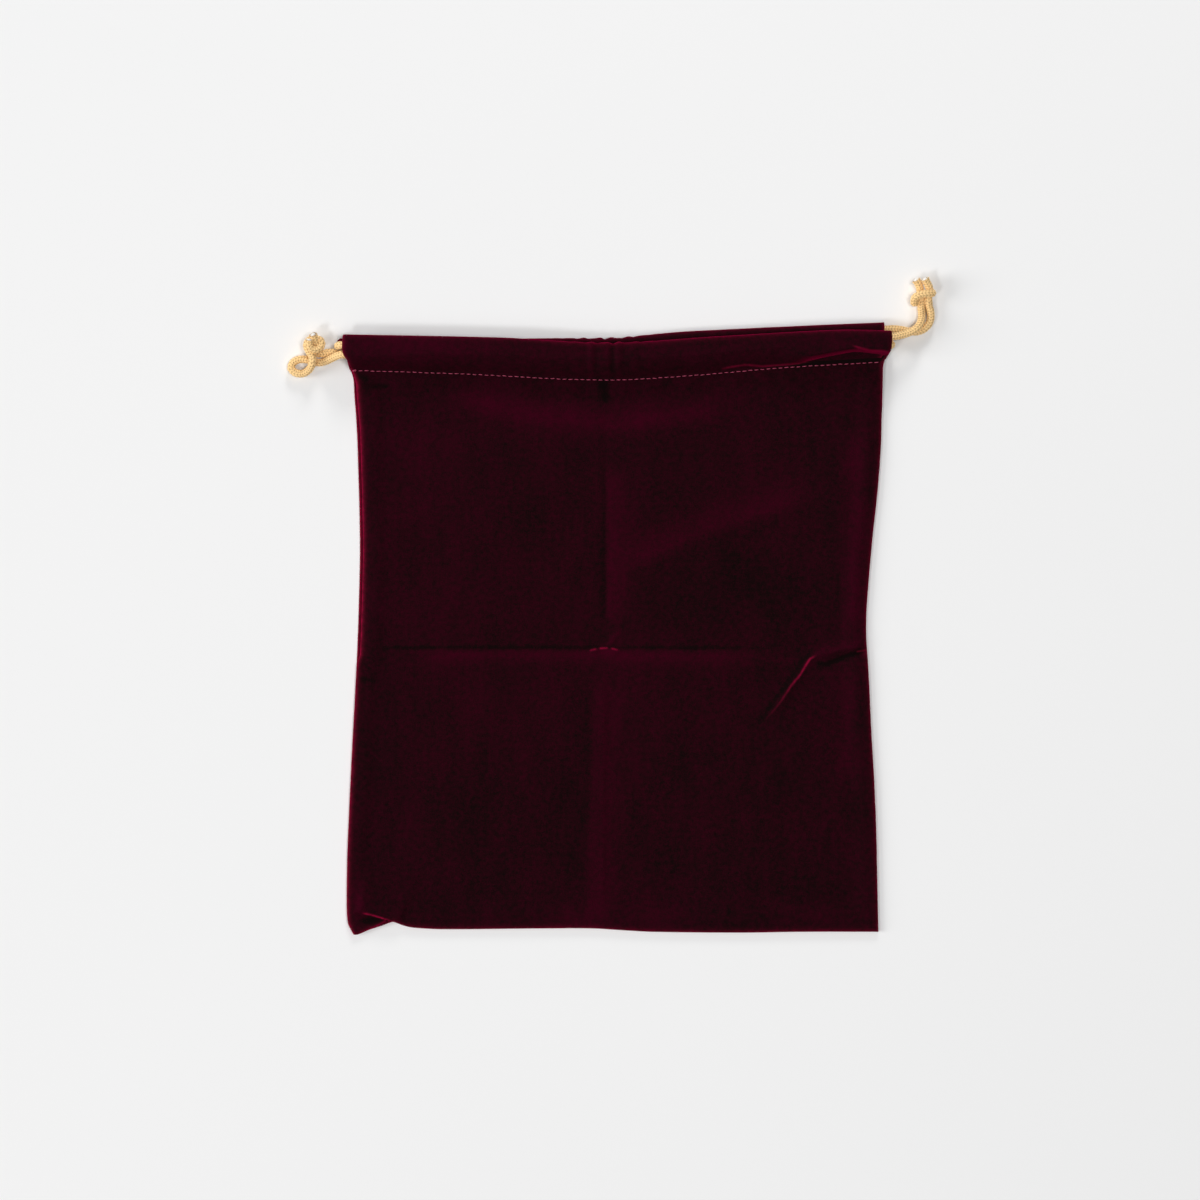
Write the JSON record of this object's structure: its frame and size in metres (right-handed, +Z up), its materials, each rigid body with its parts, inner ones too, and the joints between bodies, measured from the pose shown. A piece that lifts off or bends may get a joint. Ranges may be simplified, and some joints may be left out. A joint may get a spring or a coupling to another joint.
{
  "type": "drawstring pouch",
  "caption": "Flat velvet kinchaku pouch with a stitched channel at its mouth and drawcords knotted at both sides.",
  "frame": {"origin": "under the middle of the empty pouch, cords left out, on the surface that it lies on", "axes": "+Y runs up the pouch from its bottom seam to its mouth, +Z is up out of the front panel, +X is to the right seen from above"},
  "size_m": [0.3239, 0.3279, 0.0126],
  "materials": {
    "velvet": "short dense cotton velvet pile, dark burgundy with a crimson sheen at edges and folds",
    "gold_braid": "soft round braided cord with a low satin lustre"
  },
  "bodies": {
    "root": {"front_panel": "velvet", "back_panel": "velvet", "left_drawcord": "gold_braid", "right_drawcord": "gold_braid", "left_knot": "gold_braid", "right_knot": "gold_braid"}
  },
  "joints": []
}
